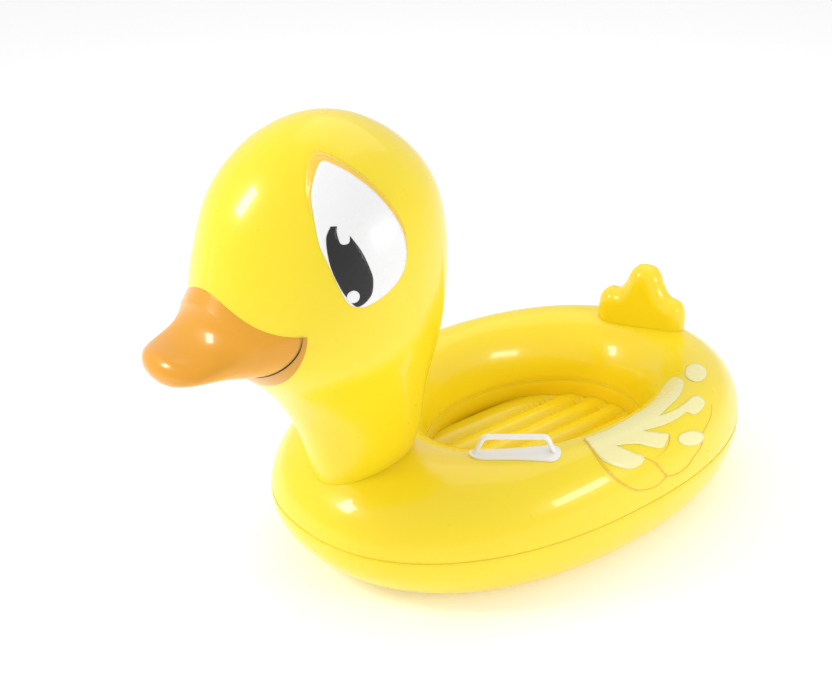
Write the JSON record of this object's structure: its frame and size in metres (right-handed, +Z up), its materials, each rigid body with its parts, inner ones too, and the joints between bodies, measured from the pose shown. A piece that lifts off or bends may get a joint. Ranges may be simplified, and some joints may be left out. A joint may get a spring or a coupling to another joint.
{
  "type": "inflatable ride-on duck float",
  "caption": "Inflatable ride-on pool duck: oval tube ring with a seat well and ribbed air floor, tall head with a bill, small tail, moulded grab handles and inflation valves.",
  "frame": {"origin": "on the ground under the middle of the ring", "axes": "+Z up, the duck looks along -Y, +X is the duck's left"},
  "size_m": [0.5848, 1.124, 0.7485],
  "materials": {
    "yellow_film": "glossy soft film",
    "face_film": "glossy soft film, printed eyes",
    "bill_film": "glossy soft film",
    "handle_vinyl": "moulded, satin",
    "valve_vinyl": "moulded, translucent"
  },
  "bodies": {
    "root": {"bill_lower_panel": "bill_film", "bill_upper_panel": "bill_film", "floor_bottom_panel": "yellow_film", "floor_top_panel": "yellow_film", "floor_valve_flange": "valve_vinyl", "floor_web_1": "yellow_film", "floor_web_2": "yellow_film", "floor_web_3": "yellow_film", "floor_web_4": "yellow_film", "floor_web_5": "yellow_film", "floor_web_6": "yellow_film", "handle_left": "handle_vinyl", "handle_right": "handle_vinyl", "head_left_panel": "face_film", "head_right_panel": "face_film", "head_valve_flange": "valve_vinyl", "ring_lower_panel": "yellow_film", "ring_upper_panel": "yellow_film", "ring_valve_flange": "valve_vinyl", "tail_front_panel": "yellow_film", "tail_rear_panel": "yellow_film"},
    "ring_valve_stem": {"ring_valve_stem": "valve_vinyl"},
    "ring_valve_plug": {"ring_valve_plug": "valve_vinyl"},
    "ring_valve_flap": {"ring_valve_flap": "valve_vinyl"},
    "head_valve_stem": {"head_valve_stem": "valve_vinyl"},
    "head_valve_plug": {"head_valve_plug": "valve_vinyl"},
    "head_valve_flap": {"head_valve_flap": "valve_vinyl"},
    "floor_valve_stem": {"floor_valve_stem": "valve_vinyl"},
    "floor_valve_plug": {"floor_valve_plug": "valve_vinyl"},
    "floor_valve_flap": {"floor_valve_flap": "valve_vinyl"}
  },
  "joints": [
    {"name": "ring_valve_pull", "type": "slide", "parent": "root", "child": "ring_valve_stem", "axis": [-0.8841, -0.0417, 0.4654], "range_m": [0, 0.01]},
    {"name": "ring_plug_hinge", "type": "hinge", "parent": "ring_valve_stem", "child": "ring_valve_plug", "pos_m": [-0.27808, 0.08853, 0.1712], "axis": [-0.4649, -0.0219, -0.8851], "range_deg": [0, 140]},
    {"name": "ring_flap_hinge", "type": "hinge", "parent": "ring_valve_stem", "child": "ring_valve_flap", "pos_m": [-0.26358, 0.0742, 0.16394], "axis": [-0.4649, -0.0219, -0.8851], "range_deg": [0, 60], "stiffness_Nm_per_rad": 0.001},
    {"name": "head_valve_pull", "type": "slide", "parent": "root", "child": "head_valve_stem", "axis": [-0.5619, 0.8272, 0], "range_m": [0, 0.01]},
    {"name": "head_plug_hinge", "type": "hinge", "parent": "head_valve_stem", "child": "head_valve_plug", "pos_m": [-0.05062, -0.24134, 0.32], "axis": [0.8272, 0.5619, 0], "range_deg": [0, 140]},
    {"name": "head_flap_hinge", "type": "hinge", "parent": "head_valve_stem", "child": "head_valve_flap", "pos_m": [-0.04185, -0.25425, 0.305], "axis": [0.8272, 0.5619, 0], "range_deg": [0, 60], "stiffness_Nm_per_rad": 0.001},
    {"name": "floor_valve_pull", "type": "slide", "parent": "root", "child": "floor_valve_stem", "axis": [0, 0, 1], "range_m": [0, 0.01]},
    {"name": "floor_plug_hinge", "type": "hinge", "parent": "floor_valve_stem", "child": "floor_valve_plug", "pos_m": [0.084, -0.065, 0.0751], "axis": [-1, 0, 0], "range_deg": [0, 140]},
    {"name": "floor_flap_hinge", "type": "hinge", "parent": "floor_valve_stem", "child": "floor_valve_flap", "pos_m": [0.084, -0.08, 0.0595], "axis": [-1, 0, 0], "range_deg": [0, 60], "stiffness_Nm_per_rad": 0.001}
  ]
}
